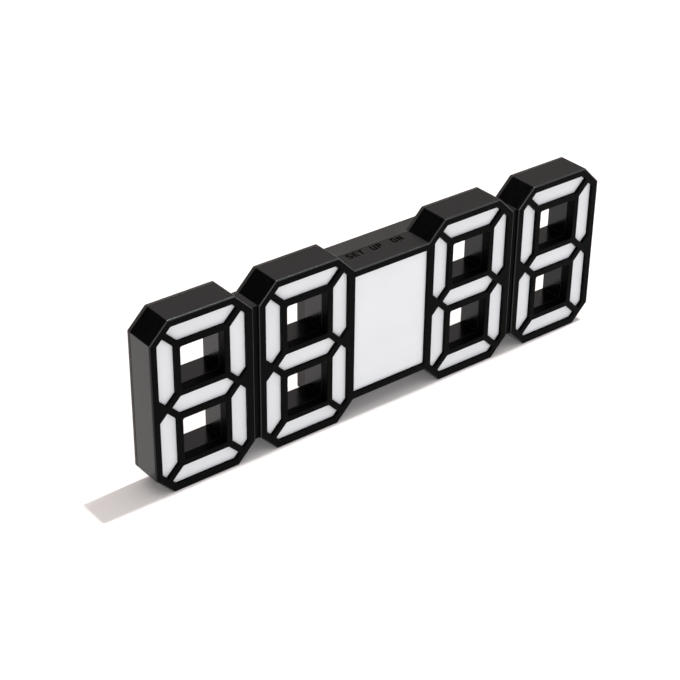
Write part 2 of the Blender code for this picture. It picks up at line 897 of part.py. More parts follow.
def build_sounder():
    """Round sounder with its port facing the vents."""
    body = bmesh.new()
    back = part_front + sounder_height
    profile = [(0, part_front), (sounder_radius, part_front), (sounder_radius, back), (sounder_port, back),
               (sounder_port, back - sounder_port_depth), (0, back - sounder_port_depth)]
    add_turned(body, profile, fine_sides)
    make_object("sounder", body, "part_black", (sounder_x, 0, sounder_level))


for old in list(bpy.data.objects):
    bpy.data.objects.remove(old, do_unlink=True)

clock_frame = bpy.data.objects.new("clock_frame", None)
bpy.context.scene.collection.objects.link(clock_frame)
clock_frame.location = (0, -overall_depth / 2, half_height)

build_front_case()
for index, digit_x in enumerate(digit_centres, 1):
    build_digit_lens(index, digit_x)
    build_light_frame(index, digit_x)
build_panel()
build_display_board()
build_rear_cover()
build_case_screws()
build_control_board()
build_buttons()
build_battery()
build_socket()
build_sounder()
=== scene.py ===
"""Looks of the digital clock: moulded black case, milk-white segments and plain studio light.

Shapes are drawn in millimetres from the middle of the front face, x to the
right, y from the front to the back and z up, and then set into the frame.
"""

import math

import bmesh
import bpy
from mathutils import Matrix, Vector


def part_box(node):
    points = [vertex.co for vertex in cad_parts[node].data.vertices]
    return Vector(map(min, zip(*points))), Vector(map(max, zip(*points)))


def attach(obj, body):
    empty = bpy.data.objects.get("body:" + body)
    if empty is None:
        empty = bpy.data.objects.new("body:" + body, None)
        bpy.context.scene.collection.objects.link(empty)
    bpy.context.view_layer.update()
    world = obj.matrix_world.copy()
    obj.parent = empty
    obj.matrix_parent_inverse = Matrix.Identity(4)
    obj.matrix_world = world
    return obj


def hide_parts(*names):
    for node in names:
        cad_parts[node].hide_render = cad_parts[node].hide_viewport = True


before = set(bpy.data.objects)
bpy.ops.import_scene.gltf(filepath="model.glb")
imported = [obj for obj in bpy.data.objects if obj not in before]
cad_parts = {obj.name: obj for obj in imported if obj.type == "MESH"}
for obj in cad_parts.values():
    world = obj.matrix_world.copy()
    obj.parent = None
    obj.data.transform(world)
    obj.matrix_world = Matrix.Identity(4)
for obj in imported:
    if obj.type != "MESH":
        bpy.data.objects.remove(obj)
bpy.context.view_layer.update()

mm = 0.001

# The case in the frame
case_low, case_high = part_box("front_case")
face_middle = Vector(((case_low.x + case_high.x) / 2, case_low.y, (case_low.z + case_high.z) / 2))


def span(node):
    """Lowest and highest corner of a CAD node, in millimetres from the middle of the front face."""
    low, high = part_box(node)
    return (low - face_middle) / mm, (high - face_middle) / mm


def middle_x(node):
    """Where a CAD node stands along the clock."""
    low, high = span(node)
    return (low.x + high.x) / 2


digit_numbers = (1, 2, 3, 4)
all_digits = (0, 1, 2, 3)
digit_centres = [middle_x(f"digit_lens_{number}") for number in digit_numbers]
half_width = span("front_case")[1].x - digit_centres[-1]
half_height = span("front_case")[1].z
case_depth = span("front_case")[1].y
box_back = span("rear_cover")[1].y
block_half = digit_centres[2] - half_width
corner_cut = 9.5
shoulder = half_height - corner_cut
fit_gap = 0.3

# Front case
case_wall = 2.0
front_wall = 2.2
groove_depth = 1.0
case_corner = 0.8
block_corner = 0.35
face_round = 0.55
seam_round = 0.2
sleeve_wall = 1.2
sleeve_end = 4.6

# Segments and windows
rim_width = 3.7
stroke_side = 8.9
stroke_top = 8.5
stroke_middle = 9.2
window_bar = 3.0
mitre_gap = 3.0
waist_notch = 5.65
segment_corner = 0.3
segment_round = 0.15
window_corner = 0.9
cover_window_corner = 0.3
window_round = 0.4
pad_gap = 0.1
pad_round = 0.08
lens_recess = span("digit_lens_1")[0].y
lens_front = front_wall + fit_gap
lens_back = span("digit_lens_1")[1].y
outer_x = half_width - rim_width
inner_x = outer_x - stroke_side
top_z = half_height - rim_width
under_z = top_z - stroke_top
middle_z = stroke_middle / 2
window_x = inner_x - window_bar
window_top = under_z - window_bar
window_bottom = middle_z + window_bar

# Centre panel
panel_rim = 3.6
panel_side_rim = 0.2
panel_corner = 0.5
panel_recess = span("panel_lens")[0].y

# Rear cover and box
cover_plate = 2.0
cover_front = case_depth + fit_gap
cover_back = cover_front + cover_plate
cover_round = 0.5
box_half = 36.2
box_wall = 1.8
box_round = 0.5
box_corner = 0.5
box_inner = box_back - box_wall
window_flare = 0.3

# Screws, bosses and wells
screw_radius = 1.1
screw_length = 8.6
head_radius = 2.2
head_height = 1.4
head_round = 0.7
shank_collar = 0.3
board_screw_count = 4
board_screw_radius = 1.0
board_screw_length = 4.6
board_head_radius = 1.9
board_head_height = 1.2
boss_margin = 4.0
boss_x = half_width - boss_margin
boss_radius = 1.9
boss_play = 0.4
well_depth = 1.9
seat_thickness = 1.4
seat_level = cover_back - well_depth
seat_front = seat_level - seat_thickness
boss_back = seat_front - fit_gap
pilot_radius = 1.35
pilot_spare = 1.0
seat_radius = 2.6
well_radius = 3.6
well_edge = 0.25

# Shares of a screw: its tip, one turn of its thread as (width, way along), and the cross in its head
tip_share = 0.45
pitch_share = 0.8
thread_start_share = 0.5
thread_shares = ((0.72, 0.0), (0.98, 0.4), (0.98, 0.5), (0.72, 0.9))
cross_reach_share = 0.62
cross_width_share = 0.14
cross_depth_share = 0.75
cross_draft_share = 0.5

# Buttons, door, socket and vents on the back
button_width = 9.0
button_height = 5.5
button_round = 0.5
button_dish = 0.3
button_dish_flat = 0.1
button_flange = 1.2
button_x = {name: middle_x(f"{name}_button") for name in ("set", "up", "down")}
button_level = (span("set_button")[0].z + span("set_button")[1].z) / 2
button_back = span("set_button")[1].y
door_low, door_high = span("battery_door")
door_level = (door_low.z + door_high.z) / 2
door_flange_radius = (door_high.z - door_low.z) / 2
door_overlap = 1.5
door_plug_radius = door_flange_radius - door_overlap
door_front = door_low.y
door_flange = 0.6
door_skirt = 0.7
skirt_height = 1.0
lug_reach = 1.1
lug_angle = math.radians(26)
notch_angle = math.radians(34)
lug_count = 3
door_turn = math.radians(45)
coin_slot_length = 14.0
coin_slot_width = 1.8
coin_slot_depth = 0.9
coin_slot_edge = 0.25
door_edge = 0.25
ring_inset = 1.0
ring_half = 0.35
ring_floor_half = 0.15
ring_depth = 0.25
dot_depth = 0.4
cover_dot_radius = 0.85
cover_dot_floor = 0.51
cover_dot_gap = 2.2
door_dot_radius = 0.68
door_dot_floor = 0.425
door_dot_inset = 0.8
socket_low, socket_high = span("power_socket")
socket_width = 8.94
socket_height = 3.16
socket_shell = 0.3
socket_tongue = 0.7
socket_tongue_width = 6.7
socket_tongue_length = 5.2
socket_tongue_set_back = 0.6
tongue_round_share = 0.4
vent_width = 1.2
vent_length = 9.0
vent_round = 0.54
vent_pitch = 2.4
vent_count = 4
vent_x = middle_x("sounder")
vent_level = (span("sounder")[0].z + span("sounder")[1].z) / 2

# Engraved marks on top of the block
mark_words = {"set": "SET", "up": "UP", "down": "DN"}
mark_stroke = 0.64
mark_gap = 0.9
mark_weight = 0.13
mark_cut = 0.7
mark_middle = 12.3

# Letters of the marks, in strokes: the outline, and after it any hole, which runs the other way round
letter_width = 4
letter_height = 6
letters = {
    "S": [[(0, 0), (4, 0), (4, 3.5), (1, 3.5), (1, 5), (4, 5), (4, 6), (0, 6), (0, 2.5), (3, 2.5), (3, 1),
           (0, 1)]],
    "E": [[(0, 0), (4, 0), (4, 1), (1, 1), (1, 2.5), (3.4, 2.5), (3.4, 3.5), (1, 3.5), (1, 5), (4, 5), (4, 6),
           (0, 6)]],
    "T": [[(1.5, 0), (2.5, 0), (2.5, 5), (4, 5), (4, 6), (0, 6), (0, 5), (1.5, 5)]],
    "U": [[(0, 0), (4, 0), (4, 6), (3, 6), (3, 1), (1, 1), (1, 6), (0, 6)]],
    "P": [[(0, 0), (1, 0), (1, 2.5), (4, 2.5), (4, 6), (0, 6)], [(1, 5), (3, 5), (3, 3.5), (1, 3.5)]],
    "D": [[(0, 0), (3, 0), (4, 1), (4, 5), (3, 6), (0, 6)],
          [(1, 5), (2.6, 5), (3, 4.6), (3, 1.4), (2.6, 1), (1, 1)]],
    "N": [[(0, 0), (1, 0), (1, 4), (3, 0), (4, 0), (4, 6), (3, 6), (3, 2), (1, 6), (0, 6)]],
}

# Fineness of the shapes
overrun = 1.0
sink = 0.2
weld = 0.0001
corner_steps = 4
edge_steps = 4
round_sides = 48
fine_sides = 96
coarse_sides = 24
dome_steps = 5
notch_steps = 10
sharp_angle = math.radians(32)


# Outlines

def inset(outline, distance):
    """Move each side of a counter-clockwise outline inwards by a distance."""
    moved = []
    for index, point in enumerate(outline):
        before = (point - outline[index - 1]).normalized()
        after = (outline[(index + 1) % len(outline)] - point).normalized()
        normal_before = Vector((-before.y, before.x))
        normal_after = Vector((-after.y, after.x))
        both = normal_before + normal_after
        moved.append(point + both * distance / (1 + normal_before.dot(normal_after)))
    return moved


def soften(points, radii):
    """Turn the corners of an outline into arcs: one radius for all, or one for each."""
    if not hasattr(radii, "__len__"):
        radii = [radii] * len(points)
    outline = []
    for index, (point, radius) in enumerate(zip(points, radii)):
        if not radius:
            outline.append(point)
            continue
        before = (points[index - 1] - point).normalized()
        after = (points[(index + 1) % len(points)] - point).normalized()
        half = before.angle(after) / 2
        centre = point + (before + after).normalized() * radius / math.sin(half)
        start = point + before * radius / math.tan(half) - centre
        end = point + after * radius / math.tan(half) - centre
        sweep = math.atan2(start.cross(end), start.dot(end))
        for step in range(corner_steps + 1):
            outline.append(centre + Matrix.Rotation(sweep * step / corner_steps, 2) @ start)
    return outline


def rectangle(x_low, x_high, z_low, z_high):
    """Counter-clockwise rectangle, seen from the front."""
    return [Vector(corner) for corner in ((x_low, z_low), (x_high, z_low), (x_high, z_high), (x_low, z_high))]


def circle(x, z, radius, sides=round_sides):
    """Counter-clockwise circle, seen from the front."""
    turns = [2 * math.pi * step / sides for step in range(sides)]
    return [Vector((x + radius * math.cos(turn), z + radius * math.sin(turn))) for turn in turns]


def stadium(width, height):
    """Slot outline with round ends, about its own middle."""
    radius = height / 2
    straight = width / 2 - radius
    steps = round_sides // 4
    points = []
    for side, start in ((1, -math.pi / 2), (-1, math.pi / 2)):
        for step in range(steps + 1):
            turn = start + math.pi * step / steps
            points.append(Vector((side * straight + radius * math.cos(turn), radius * math.sin(turn))))
    return points


def shifted(outline, x, z):
    """The same outline moved by x and z."""
    return [point + Vector((x, z)) for point in outline]


def mirrored(outline, flip_x, flip_z):
    """Mirror an outline and keep it counter-clockwise."""
    signs = Vector((-1 if flip_x else 1, -1 if flip_z else 1))
    points = [point * signs for point in outline]
    return points[::-1] if flip_x != flip_z else points


def octagon(centre):
    """Outline of one digit."""
    lower = [(-half_width, -shoulder), (corner_cut - half_width, -half_height),
             (half_width - corner_cut, -half_height), (half_width, -shoulder)]
    upper = [(-x, -z) for x, z in lower]
    return [Vector((centre + x, z)) for x, z in lower + upper]


def case_outline(digits, soft=True):
    """Outline of neighbouring digits, joined at their shoulders, with its corners rounded."""
    end_radius = {0: (case_corner, 0), 1: (0, block_corner), 2: (block_corner, 0), 3: (0, case_corner)}
    lower = []
    radii = []
    for digit in digits:
        lower += octagon(digit_centres[digit])[:4]
        left, right = end_radius[digit]
        radii += [left, case_corner, case_corner, right]
    points = lower + [Vector((point.x, -point.y)) for point in reversed(lower)]
    return soften(points, radii + radii[::-1]) if soft else points


def segments():
    """The seven segment outlines of a digit, about its centre.

    Their slanted sides are lines along which z - x, x - z or x + z keeps one value, held by the names below.
    """
    slant = mitre_gap / math.sqrt(2)
    corner = half_width + half_height - corner_cut - rim_width * math.sqrt(2)
    notch = outer_x - waist_notch
    top_mitre = window_top - window_x + slant
    side_mitre = window_top - window_x - slant
    waist_mitre = window_x + window_bottom + slant
    half_top = [(under_z - top_mitre, under_z), ((corner - top_mitre) / 2, (corner + top_mitre) / 2),
                (corner - top_z, top_z)]
    top = half_top + [(-x, z) for x, z in reversed(half_top)]
    side = [(inner_x, waist_mitre - inner_x), ((waist_mitre + notch) / 2, (waist_mitre - notch) / 2),
            (outer_x, outer_x - notch), (outer_x, corner - outer_x),
            ((corner - side_mitre) / 2, (corner + side_mitre) / 2), (inner_x, inner_x + side_mitre)]
    tip = window_x + window_bottom - slant
    middle = [(-tip, 0), (middle_z - tip, -middle_z), (tip - middle_z, -middle_z)]
    middle += [(-x, -z) for x, z in middle]
    top, side, middle = ([Vector(point) for point in outline] for outline in (top, side, middle))
    return [top, mirrored(top, False, True), middle, side, mirrored(side, False, True),
            mirrored(side, True, True), mirrored(side, True, False)]


def windows(centre, growth=0, corner=window_corner):
    """The two openings of a digit, with rounded corners, grown by a distance."""
    upper = rectangle(centre - window_x, centre + window_x, window_bottom, window_top)
    return [inset(soften(outline, corner), -growth) for outline in (upper, mirrored(upper, False, True))]


def window_pairs():
    """All eight window outlines of the rear cover with the tube outline round each."""
    for centre in digit_centres:
        yield from zip(windows(centre, 0, cover_window_corner), windows(centre, sleeve_wall))


def boss_places():
    """Where the case screws stand, at mid height on both sides of each digit."""
    return [centre + side * boss_x for centre in digit_centres for side in (-1, 1)]


def panel_outline():
    """Opening of the centre panel."""
    x = block_half - panel_side_rim
    z = shoulder - panel_rim
    return soften(rectangle(-x, x, -z, z), panel_corner)


def edge(face, radius, into, sign=1):
    """Stations (depth, inset) of a rounded edge, from its face to its side; sign is -1 round an opening."""
    stations = []
    for step in range(edge_steps + 1):
        turn = math.pi / 2 * step / edge_steps
        stations.append((face + into * radius * (1 - math.cos(turn)), sign * radius * (1 - math.sin(turn))))
    return stations


# Surfaces

class Skin:
    """A closed surface built ring by ring, in millimetres."""

    def __init__(self):
        self.mesh = bmesh.new()

    def ring(self, outline, depth):
        """Points of an outline at one depth."""
        return [self.mesh.verts.new((point.x, depth, point.y)) for point in outline]

    def strip(self, near, far, finish=0):
        """Faces between two rings."""
        for index, vert in enumerate(near):
            face = self.mesh.faces.new((near[index - 1], far[index - 1], far[index], vert))
            face.material_index = finish

    def run(self, outline, stations, finish=0):
        """Strips through the (depth, inset) stations; returns the first and the last ring."""
        rings = [self.ring(inset(outline, distance), depth) for depth, distance in stations]
        for near, far in zip(rings, rings[1:]):
            self.strip(near, far, finish)
        return rings[0], rings[-1]

    def cap(self, rings, finish=0):
        """A flat face inside the first ring and outside the others."""
        edges = []
        for ring in rings:
            for index, vert in enumerate(ring):
                pair = (ring[index - 1], vert)
                edges.append(self.mesh.edges.get(pair) or self.mesh.edges.new(pair))
        filled = bmesh.ops.triangle_fill(self.mesh, use_beauty=True, edges=edges, normal=(0, 1, 0))
        for item in filled["geom"]:
            if isinstance(item, bmesh.types.BMFace):
                item.material_index = finish

    def solid(self, outline, stations, finish=0):
        """A closed body along the stations."""
        for ring in self.run(outline, stations, finish):
            self.cap([ring], finish)

    def turned(self, profile, x=0, z=0, sides=round_sides):
        """A body turned about a line along y: profile points are (radius, y), first and last on it."""
        start = self.mesh.verts.new((x, profile[0][1], z))
        end = self.mesh.verts.new((x, profile[-1][1], z))
        rings = [self.ring(circle(x, z, radius, sides), y) for radius, y in profile[1:-1]]
        for near, far in zip(rings, rings[1:]):
            self.strip(near, far)
        for tip, ring in ((start, rings[0]), (end, rings[-1])):
            for index, vert in enumerate(ring):
                self.mesh.faces.new((ring[index - 1], vert, tip))

    def place(self, name, finishes, matrix=None):
        """The surface as an object in the frame, with all its faces pointing out."""
        bmesh.ops.remove_doubles(self.mesh, verts=self.mesh.verts, dist=weld)
        if matrix:
            bmesh.ops.transform(self.mesh, matrix=matrix, verts=self.mesh.verts)
        bmesh.ops.transform(self.mesh, matrix=Matrix.Translation(face_middle) @ Matrix.Scale(mm, 4),
                            verts=self.mesh.verts)
        bmesh.ops.recalc_face_normals(self.mesh, faces=self.mesh.faces)
        data = bpy.data.meshes.new(name)
        self.mesh.to_mesh(data)
        self.mesh.free()
        made = bpy.data.objects.new(name, data)
        bpy.context.scene.collection.objects.link(made)
        for finish in finishes:
            data.materials.append(finish)
        return made


def settle(made):
    """Replace an object's mesh by what its modifiers make of it."""
    evaluated = made.evaluated_get(bpy.context.evaluated_depsgraph_get())
    result = bpy.data.meshes.new_from_object(evaluated)
    made.modifiers.clear()
    made.data = result


def combine(made, helper, operation):
    """Join a helper to a piece or cut it away from it, and delete the helper."""
    change = made.modifiers.new(operation, "BOOLEAN")
    change.operation = operation
    change.object = helper
    settle(made)
    bpy.data.objects.remove(helper)


def dress(made, body, node):
    """Shade a piece, let it ride on its body and stand for its CAD node."""
    made.data.shade_smooth()
    made.data.set_sharp_from_angle(angle=sharp_angle)
    normals = made.modifiers.new("normals", "WEIGHTED_NORMAL")
    normals.keep_sharp = True
    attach(made, body)
    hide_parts(node)


# Materials

noise_low = 0.3
noise_high = 0.7


class Finish:
    """Builds a Principled material whose colour, roughness and relief come from nodes."""

    def __init__(self, name, roughness, **constants):
        self.material = bpy.data.materials.new(name)
        self.material.use_nodes = True
        self.tree = self.material.node_tree
        self.shader = self.tree.nodes["Principled BSDF"]
        self.place = self.node("ShaderNodeTexCoord").outputs["Object"]
        self.shader.inputs["Roughness"].default_value = roughness
        for socket, value in constants.items():
            self.shader.inputs[socket.replace("_", " ")].default_value = value
        self.relief = None

    def node(self, kind, **settings):
        """A new node with its settings."""
        made = self.tree.nodes.new(kind)
        for key, value in settings.items():
            setattr(made, key, value)
        return made

    def noise(self, scale, detail=3.0, stretch=None):
        """Noise over the piece; scale is in spots a metre."""
        made = self.node("ShaderNodeTexNoise")
        made.inputs["Scale"].default_value = scale
        made.inputs["Detail"].default_value = detail
        place = self.place
        if stretch:
            mapping = self.node("ShaderNodeMapping")
            mapping.inputs["Scale"].default_value = stretch
            self.tree.links.new(place, mapping.inputs["Vector"])
            place = mapping.outputs["Vector"]
        self.tree.links.new(place, made.inputs["Vector"])
        return made.outputs["Fac"]

    def ramp(self, factor, *stops):
        """A colour ramp through (position, colour) stops."""
        made = self.node("ShaderNodeValToRGB")
        elements = made.color_ramp.elements
        while len(elements) < len(stops):
            elements.new(1.0)
        for element, (position, colour) in zip(elements, stops):
            element.position = position
            element.color = (*colour, 1)
        self.tree.links.new(factor, made.inputs["Fac"])
        return made.outputs["Color"]

    def spread(self, factor, low, high):
        """A number from low to high along the middle of a factor's range."""
        made = self.node("ShaderNodeMapRange")
        limits = (noise_low, noise_high, low, high)
        for socket, value in zip(("From Min", "From Max", "To Min", "To Max"), limits):
            made.inputs[socket].default_value = value
        self.tree.links.new(factor, made.inputs["Value"])
        return made.outputs["Result"]

    def colour(self, source):
        """Colour from a socket."""
        self.tree.links.new(source, self.shader.inputs["Base Color"])
        return self

    def rough(self, source):
        """Roughness from a socket."""
        self.tree.links.new(source, self.shader.inputs["Roughness"])
        return self

    def bump(self, source, height, strength=1.0):
        """Relief on top of what is there, height in metres."""
        made = self.node("ShaderNodeBump")
        made.inputs["Distance"].default_value = height
        made.inputs["Strength"].default_value = strength
        self.tree.links.new(source, made.inputs["Height"])
        if self.relief:
            self.tree.links.new(self.relief, made.inputs["Normal"])
        self.relief = made.outputs["Normal"]
        self.tree.links.new(self.relief, self.shader.inputs["Normal"])
        return self


def grey(level, warmth=0.0):
    """A grey, with a little more red than blue where it is warm."""
    return (level * (1 + warmth), level, level * (1 - warmth))


cool_sheen = (0.89, 0.945, 1.0, 1.0)
plain_sheen = (1.0, 1.0, 1.0, 1.0)
lens_cloud = 0.015
mask_green = (0.012, 0.090, 0.045)
track_green = (0.030, 0.160, 0.070)


def moulding(name, dark, light, smooth, rough, specular, grain, warmth=0.0, sheen=cool_sheen):
    """Injection-moulded plastic: spark-eroded grain, its height in metres, and faint flow marks."""
    made = Finish(name, (smooth + rough) / 2, Specular_IOR_Level=specular, Specular_Tint=sheen)
    cloud = made.noise(scale=55, detail=4.0)
    made.colour(made.ramp(cloud, (noise_low, grey(dark, warmth)), (noise_high, grey(light, warmth))))
    made.rough(made.spread(made.noise(scale=260, detail=5.0), smooth, rough))
    made.bump(made.noise(scale=2600, detail=2.0), grain)
    made.bump(made.noise(scale=70, detail=1.0), height=0.00004, strength=0.25)
    return made.material


def diffuser(name, level):
    """Milk-white diffuser: very even, with a faint cool cast and a satin skin."""
    made = Finish(name, roughness=0.36, Specular_IOR_Level=0.40)
    dark = grey(level - lens_cloud, warmth=-0.038)
    light = grey(level + lens_cloud, warmth=-0.030)
    made.colour(made.ramp(made.noise(scale=38, detail=3.0), (noise_low, dark), (noise_high, light)))
    made.rough(made.spread(made.noise(scale=420, detail=3.0), low=0.31, high=0.42))
    made.bump(made.noise(scale=3200, detail=2.0), height=0.000012, strength=0.5)
    return made.material


def circuit_board(name):
    """Green solder mask with copper tracks showing through it."""
    made = Finish(name, roughness=0.4, Specular_IOR_Level=0.5)
    tracks = made.node("ShaderNodeTexBrick", offset=0.5)
    settings = {"Scale": 180.0, "Mortar Size": 0.035, "Brick Width": 1.7, "Row Height": 0.45}
    for socket, value in settings.items():
        tracks.inputs[socket].default_value = value
    turned = made.node("ShaderNodeMapping")
    turned.inputs["Rotation"].default_value = (math.pi / 2, 0, 0)
    made.tree.links.new(made.place, turned.inputs["Vector"])
    made.tree.links.new(turned.outputs["Vector"], tracks.inputs["Vector"])
    made.colour(made.ramp(tracks.outputs["Fac"], (0.0, mask_green), (1.0, track_green)))
    made.bump(tracks.outputs["Fac"], height=0.00003)
    made.rough(made.spread(made.noise(scale=300), low=0.32, high=0.48))
    return made.material


def metal(name, dark, light, smooth, rough, stretch):
    """Plated steel, drawn along one direction."""
    made = Finish(name, rough, Metallic=1.0)
    brushed = made.noise(scale=900, detail=4.0, stretch=stretch)
    made.colour(made.ramp(brushed, (noise_low, grey(dark)), (noise_high, grey(light, warmth=-0.015))))
    made.rough(made.spread(brushed, smooth, rough))
    made.bump(brushed, height=0.00001, strength=0.4)
    return made.material


face_black = moulding("face_black", dark=0.0012, light=0.0019, smooth=0.38, rough=0.50,
                      specular=0.03, grain=0.000006)
satin_black = moulding("satin_black", dark=0.0014, light=0.0022, smooth=0.17, rough=0.25,
                       specular=0.33, grain=0.0000015)
# The next finish is a painted sheen: a lighter, glossier copy of the satin black, kept only on edges that
# face up
painted_sheen_black = moulding("painted_sheen_black", dark=0.0020, light=0.0030, smooth=0.20, rough=0.30,
                      specular=0.80, grain=0.0000015)
cover_black = moulding("cover_black", dark=0.0280, light=0.0400, smooth=0.40, rough=0.52,
                       specular=0.22, grain=0.000008, warmth=0.04, sheen=plain_sheen)
part_black = moulding("part_black", dark=0.018, light=0.024, smooth=0.34, rough=0.46,
                      specular=0.45, grain=0.000010)
frame_white = moulding("frame_white", dark=0.70, light=0.78, smooth=0.45, rough=0.60,
                       specular=0.40, grain=0.000010)
switch_beige = moulding("switch_beige", dark=0.36, light=0.43, smooth=0.42, rough=0.55,
                        specular=0.40, grain=0.000010, warmth=0.08)
lens_white = diffuser("lens_white", level=0.83)
panel_white = diffuser("panel_white", level=0.85)
board_green = circuit_board("board_green")
nickel_steel = metal("nickel_steel", dark=0.55, light=0.68, smooth=0.18, rough=0.30, stretch=(1, 1, 12))
zinc_steel = metal("zinc_steel", dark=0.42, light=0.54, smooth=0.24, rough=0.38, stretch=(6, 1, 6))

# Places of the finishes in a piece's list, and the least upward slope of an edge that keeps the painted sheen
FACE, SATIN, SHEEN_EDGE = 0, 1, 2
case_finishes = (face_black, satin_black, painted_sheen_black)
SHELL, TONGUE = 0, 1
socket_finishes = (nickel_steel, part_black)
sheen_slope = 0.05


# Front case

def boss_and_pilot(skin, x):
    """Screw boss inside the front case; returns the ring where it meets the front wall."""
    foot, rim = skin.run(circle(x, 0, boss_radius), [(front_wall, 0), (boss_back, 0)], SATIN)
    pilot = [(boss_back, 0), (seat_level - screw_length - pilot_spare, 0)]
    mouth, floor = skin.run(circle(x, 0, pilot_radius), pilot, SATIN)
    skin.cap([rim, mouth], SATIN)
    skin.cap([floor], SATIN)
    return foot


def island(skin, digits):
    """Front face of neighbouring digits, down to the grooves; returns where its holes meet the ceiling."""
    rim, _ = skin.run(case_outline(digits), edge(0, face_round, 1), SHEEN_EDGE)
    skin.run(case_outline(digits), [(face_round, 0), (groove_depth, 0)], SATIN)
    mouths = []
    feet = []
    for digit in digits:
        centre = digit_centres[digit]
        for outline in segments():
            hole = soften(shifted(outline, centre, 0), segment_corner)
            stations = edge(0, segment_round, 1, -1) + [(front_wall, 0)]
            mouth, foot = skin.run(hole, stations, FACE)
            mouths.append(mouth)
            feet.append(foot)
        for inner, outer in zip(windows(centre), windows(centre, sleeve_wall)):
            mouth, end = skin.run(inner, edge(0, window_round, 1, -1) + [(sleeve_end, 0)], FACE)
            mouths.append(mouth)
            foot, rear = skin.run(outer, [(front_wall, 0), (sleeve_end, 0)], SATIN)
            skin.cap([rear, end], SATIN)
            feet.append(foot)
    if len(digits) > 1:
        mouth, foot = skin.run(panel_outline(), edge(0, segment_round, 1, -1) + [(front_wall, 0)], FACE)
        mouths.append(mouth)
        feet.append(foot)
    skin.cap([rim] + mouths, FACE)
    return feet


def build_front_case():
    """Black moulded front with engraved marks on top of the block; a painted sheen lightens its upward edges.
    """
    skin = Skin()
    feet = island(skin, (0,)) + island(skin, (1, 2)) + island(skin, (3,))
    for left in (0, 2):
        low_x = digit_centres[left] + half_width
        high_x = digit_centres[left + 1] - half_width
        skin.cap([skin.ring(rectangle(low_x, high_x, -shoulder, shoulder), groove_depth)], FACE)
    whole = case_outline(all_digits)
    outside = [(groove_depth, 0)] + edge(case_depth, seam_round, -1)[::-1]
    _, outer = skin.run(whole, outside, SATIN)
    inner_outline = inset(case_outline(all_digits, soft=False), case_wall)
    inner, ceiling = skin.run(inner_outline, [(case_depth, 0), (front_wall, 0)], SATIN)
    skin.cap([outer, inner], SATIN)
    feet += [boss_and_pilot(skin, x) for x in boss_places()]
    skin.cap([ceiling] + feet, SATIN)
    case = skin.place("front_case_shell", case_finishes)
    # Painted sheen: only edges that face up keep the lighter, glossier edge finish, and the rest turn satin
    for face in case.data.polygons:
        if face.material_index == SHEEN_EDGE and face.normal.z < sheen_slope:
            face.material_index = SATIN
    for name, word in mark_words.items():
        combine(case, mark_cutter(word, button_x[name]), "DIFFERENCE")
    dress(case, "case", "front_case")


def mark_cutter(word, x):
    """Solid lettering that reads from the front, sunk into the top of the block."""
    skin = Skin()
    pitch = letter_width * mark_stroke + mark_gap
    stations = [(-overrun, -mark_weight), (mark_cut, -mark_weight)]
    for index, letter in enumerate(word):
        centre = (index - (len(word) - 1) / 2) * pitch
        pairs = []
        for form in letters[letter]:
            outline = [Vector((centre + (across - letter_width / 2) * mark_stroke,
                               (up - letter_height / 2) * mark_stroke)) for across, up in form]
            pairs.append(skin.run(outline, stations))
        for rings in zip(*pairs):
            skin.cap(rings)
    upright = Matrix.Translation((x, mark_middle, shoulder)) @ Matrix.Rotation(-math.pi / 2, 4, "X")
    return skin.place(word, case_finishes, upright)


# Lenses

def build_digit_lens(number, centre):
    """White diffuser: an octagonal plate with seven raised segments and room for the screw bosses."""
    skin = Skin()
    feet = []
    for outline in segments():
        pad = inset(soften(shifted(outline, centre, 0), segment_corner), pad_gap)
        top, foot = skin.run(pad, edge(lens_recess, pad_round, 1) + [(lens_front, 0)])
        skin.cap([top])
        feet.append(foot)
    plate = inset(octagon(centre), case_wall + fit_gap)
    build_plate(skin, plate, windows(centre, sleeve_wall + fit_gap), feet)
    lens = skin.place(f"digit_lens_{number}_skin", (lens_white,))
    room = Skin()
    for side in (-1, 1):
        around = circle(centre + side * boss_x, 0, boss_radius + boss_play, coarse_sides)
        room.solid(around, [(front_wall, 0), (lens_back + overrun, 0)])
    combine(lens, room.place("room", (lens_white,)), "DIFFERENCE")
    dress(lens, "case", f"digit_lens_{number}")


def build_plate(skin, plate, holes, feet):
    """Plate of a lens behind its raised pads."""
    front, back = skin.run(plate, [(lens_front, 0), (lens_back, 0)])
    pairs = [skin.run(hole, [(lens_front, 0), (lens_back, 0)]) for hole in holes]
    skin.cap([front] + feet + [pair[0] for pair in pairs])
    skin.cap([back] + [pair[1] for pair in pairs])


def build_panel_lens():
    """White diffuser of the centre panel."""
    skin = Skin()
    pad = inset(panel_outline(), pad_gap)
    top, foot = skin.run(pad, edge(panel_recess, pad_round, 1) + [(lens_front, 0)])
    skin.cap([top])
    low, high = span("panel_lens")
    build_plate(skin, rectangle(low.x, high.x, low.z, high.z), [], [foot])
    dress(skin.place("panel_lens_skin", (panel_white,)), "case", "panel_lens")


# Rear cover

def notched_circle():
    """Door hole with the notches that let the lugs through."""
    hole = door_plug_radius + fit_gap
    reach = hole + lug_reach
    points = []
    for lug in range(lug_count):
        low = 2 * math.pi * lug / lug_count - door_turn - notch_angle / 2
        high = low + notch_angle
        following = low + 2 * math.pi / lug_count
        for radius, start, end in ((reach, low, high), (hole, high, following)):
            for step in range(notch_steps + 1):
                turn = start + (end - start) * step / notch_steps
                points.append(Vector((radius * math.cos(turn), door_level + radius * math.sin(turn))))
    return points


def side_turn():
    """Lays a body made along y so that it runs along x at the power socket's place."""
    quarter = Matrix(((0, 1, 0), (0, 0, 1), (1, 0, 0))).to_4x4()
    middle = (socket_low + socket_high) / 2
    return Matrix.Translation((0, middle.y, middle.z)) @ quarter


def through(skin, outline, front, back, lip, finish=0):
    """A cut to the back face whose mouth is rounded over."""
    mouth = edge(back, lip, -1, -1)[::-1]
    skin.solid(outline, [(front, 0)] + mouth + [(back + overrun, -lip)], finish)


